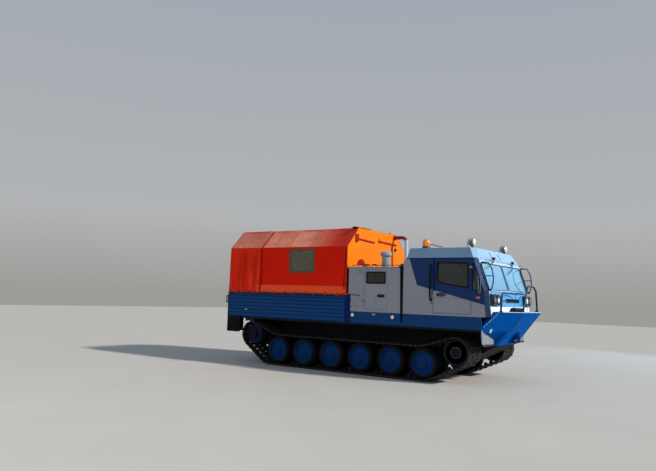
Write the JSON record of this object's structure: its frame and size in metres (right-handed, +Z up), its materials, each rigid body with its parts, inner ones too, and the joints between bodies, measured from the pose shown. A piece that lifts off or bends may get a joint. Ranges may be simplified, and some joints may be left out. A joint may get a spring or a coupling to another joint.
{
  "type": "tracked all-terrain vehicle",
  "caption": "Tracked all-terrain carrier with a boat-nosed hull, forward cab, engine bay and a canvas-covered bed; doors and tailgate open.",
  "frame": {"origin": "centre of the outline's footprint, on the ground plane under the tracks", "axes": "+X forward to the nose, +Y to the vehicle's left, +Z up"},
  "size_m": [8.64, 3.304, 3.862],
  "materials": {
    "blue_paint": "satin blue body paint",
    "navy_paint": "dark blue cab paint",
    "grey_paint": "light grey body paint",
    "slate_paint": "dark slate hull paint",
    "wheel_paint": "blue wheel paint, dusty",
    "black_paint": "black paint on tubes and brackets",
    "track_steel": "worn dark track steel",
    "rubber": "black rubber tyre",
    "canvas": "bright orange coated canvas",
    "clear_film": "clear window film",
    "glass": "tinted clear window glass",
    "vinyl": "dark seat vinyl",
    "black_plastic": "dark moulded plastic",
    "bench_wood": "varnished bench boards",
    "bare_steel": "bare steel",
    "engine_iron": "engine casting",
    "lamp_body": "lamp bodies, light"
  },
  "bodies": {
    "chassis": {"air_intake": "grey_paint", "bed_benches": "bench_wood", "bed_walls": "blue_paint", "cab_bulkhead": "grey_paint", "cab_front": "blue_paint", "cab_glass": "glass", "cab_roof": "grey_paint", "cab_sides": "navy_paint", "canopy_bows": "black_paint", "canopy_ends": "canvas", "canopy_posts": "black_paint", "canopy_roof": "canvas", "canopy_sides": "canvas", "canopy_windows": "clear_film", "dashboard": "black_plastic", "deck_winch": "black_paint", "engine_block": "engine_iron", "engine_cover": "grey_paint", "engine_walls": "grey_paint", "floor_deck": "slate_paint", "front_guard": "black_paint", "front_mudguards": "grey_paint", "grab_rails": "black_paint", "headlamps": "lamp_body", "heater_duct": "black_paint", "hull": "slate_paint", "idlers": "wheel_paint", "mirror_hoops": "black_paint", "nose": "blue_paint", "rear_mudguards": "rubber", "road_wheel_tyres": "rubber", "road_wheels": "wheel_paint", "roof_lamps": "lamp_body", "seat_cushions": "vinyl", "seat_frames": "black_paint", "side_bands": "blue_paint", "sprockets": "wheel_paint", "suspension_arms": "slate_paint", "tow_fittings": "bare_steel", "track_left": "track_steel", "track_right": "track_steel"},
    "tailgate": {"tailgate": "blue_paint"},
    "cab_door_left": {"cab_door_left": "navy_paint", "door_glass_left": "glass"},
    "cab_door_right": {"cab_door_right": "navy_paint", "door_glass_right": "glass"},
    "engine_door_left": {"engine_door_left": "grey_paint"},
    "engine_door_right": {"engine_door_right": "grey_paint"},
    "steering_wheel": {"steering_wheel": "black_plastic"}
  },
  "joints": [
    {"name": "tailgate_hinge", "type": "hinge", "parent": "chassis", "child": "tailgate", "pos_m": [-4.307, 0, 1.392], "axis": [0, -1, 0], "range_deg": [0, 90]},
    {"name": "cab_door_right_hinge", "type": "hinge", "parent": "chassis", "child": "cab_door_right", "pos_m": [3.37, -1.592, 2.25], "axis": [0, 0, 1], "range_deg": [0, 75]},
    {"name": "cab_door_left_hinge", "type": "hinge", "parent": "chassis", "child": "cab_door_left", "pos_m": [3.37, 1.592, 2.25], "axis": [0, 0, -1], "range_deg": [0, 75]},
    {"name": "engine_door_right_hinge", "type": "hinge", "parent": "chassis", "child": "engine_door_right", "pos_m": [0.452, -1.592, 2.2], "axis": [0, 0, -1], "range_deg": [0, 110]},
    {"name": "engine_door_left_hinge", "type": "hinge", "parent": "chassis", "child": "engine_door_left", "pos_m": [0.452, 1.592, 2.2], "axis": [0, 0, 1], "range_deg": [0, 110]},
    {"name": "steering_turn", "type": "hinge", "parent": "chassis", "child": "steering_wheel", "pos_m": [3.19, 0.78, 2.21], "axis": [-0.8, 0, 0.6], "range_deg": [-90, 90]}
  ]
}
